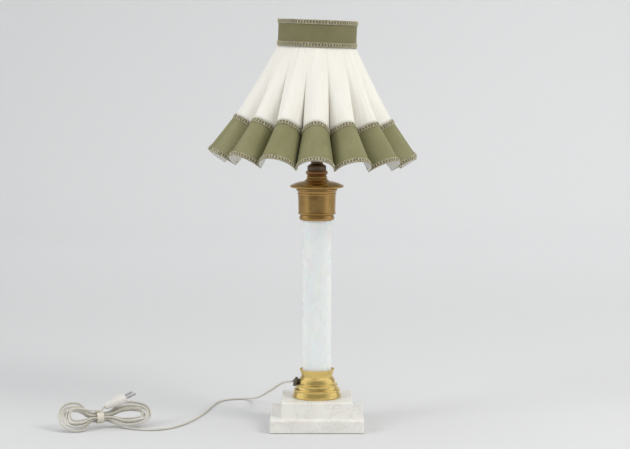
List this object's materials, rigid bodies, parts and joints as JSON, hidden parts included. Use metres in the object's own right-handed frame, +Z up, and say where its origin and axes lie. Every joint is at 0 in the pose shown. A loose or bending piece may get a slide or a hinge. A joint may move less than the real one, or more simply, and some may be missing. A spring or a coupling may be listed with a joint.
{
  "type": "table lamp",
  "caption": "Column table lamp: marble plinth, brass foot and capital, white glass column, leaning pleated silk shade with a fluted green frill, and a cord ending in a tied hank and plug.",
  "frame": {"origin": "on the table, under the column's axis, at the middle of the felt underside", "axes": "+Z up, -Y towards the viewer of the lamp's front, +X to the viewer's right; the cord leaves towards -X"},
  "size_m": [0.5994, 0.3919, 0.6811],
  "materials": {
    "felt": "dense felt",
    "marble": "honed white marble with faint veins",
    "brass": "polished, lightly tarnished brass",
    "red_brass": "turned red brass",
    "dark_bronze": "dark bronzed metal",
    "opal_glass": "opaque white glass, satin",
    "cork": "cork",
    "steel": "zinc-plated steel",
    "wire": "brass-plated wire",
    "porcelain": "glazed porcelain",
    "frame_wire": "white-lacquered wire",
    "lining_cloth": "plain cream lining",
    "cream_silk": "gathered cream silk",
    "green_silk": "olive green silk",
    "braid": "woven braid, grey-green with pale loops",
    "lamp_glass": "clear glass",
    "bulb_metal": "thin spun aluminium",
    "bulb_black": "vitrite insulator with a solder contact",
    "filament": "pale yellow filament sticks",
    "cord_white": "aged white flat flex",
    "tie_white": "cream wire tie",
    "plug_white": "moulded white plug",
    "bushing_brown": "dark moulded bushing"
  },
  "bodies": {
    "lamp": {"felt_pad": "felt", "base_slab_lower": "marble", "base_slab_upper": "marble", "base_nut": "steel", "base_washer": "steel", "tie_rod": "steel", "top_nut": "steel", "foot_shell": "brass", "lower_column_seat": "cork", "column_tube": "opal_glass", "upper_column_seat": "cork", "capital_shell": "brass", "cap_disc": "brass", "neck_ring": "red_brass", "locking_collar": "dark_bronze", "collar_screw": "steel", "bow_saddle": "brass", "bow_wire": "wire", "bow_ferrules": "brass", "bow_stud": "brass", "holder_cap": "brass", "holder_shell": "brass", "holder_insert": "porcelain", "socket_thread": "brass", "socket_contact": "brass", "terminal_screws": "steel", "holder_leads": "cord_white", "cord_bushing": "bushing_brown", "bushing_nut": "steel", "inner_cord": "cord_white", "cord_free": "cord_white", "cord_hank": "cord_white", "hank_tie": "tie_white", "plug_body": "plug_white", "plug_pins": "steel"},
    "shade": {"shade_waist_ring": "frame_wire", "shade_crown_ring": "frame_wire", "shade_bottom_ring": "frame_wire", "shade_struts": "frame_wire", "shade_hub": "brass", "shade_arms": "wire", "shade_lining": "lining_cloth", "collar_band": "green_silk", "collar_trim_lower": "braid", "collar_trim_upper": "braid", "shade_cover": "cream_silk", "frill": "green_silk", "frill_lining": "lining_cloth", "frill_trim_upper": "braid", "frill_trim_hem": "braid"},
    "finial_thread": {"finial_insert": "brass"},
    "finial": {"finial_knob": "brass"},
    "bulb_thread": {"bulb_contact": "bulb_black"},
    "bulb": {"bulb_cap": "bulb_metal", "bulb_glass": "lamp_glass", "bulb_stem": "lamp_glass", "bulb_filaments": "filament"},
    "switch": {"switch_bar": "bushing_brown"}
  },
  "joints": [
    {"name": "shade_turn", "type": "hinge", "parent": "lamp", "child": "shade", "pos_m": [0, 0, 0.63405], "axis": [0, 0, 1], "continuous": true},
    {"name": "finial_rise", "type": "slide", "parent": "lamp", "child": "finial_thread", "axis": [0, 0, 1], "range_m": [0, 0.0151]},
    {"name": "finial_turn", "type": "hinge", "parent": "finial_thread", "child": "finial", "pos_m": [0, 0, 0.645], "axis": [0, 0, 1], "range_deg": [0, 5760]},
    {"name": "bulb_rise", "type": "slide", "parent": "lamp", "child": "bulb_thread", "axis": [0, 0, 1], "range_m": [0, 0.0182]},
    {"name": "bulb_turn", "type": "hinge", "parent": "bulb_thread", "child": "bulb", "pos_m": [0, 0, 0.49], "axis": [0, 0, 1], "range_deg": [0, 1800]},
    {"name": "switch_press", "type": "slide", "parent": "lamp", "child": "switch", "axis": [1, 0, 0], "range_m": [0, 0.003]}
  ],
  "couplings": [
    {"joint": "finial_rise", "follows": "finial_turn", "m_per_rad": 0.0001496},
    {"joint": "bulb_rise", "follows": "bulb_turn", "m_per_rad": 0.000578}
  ]
}
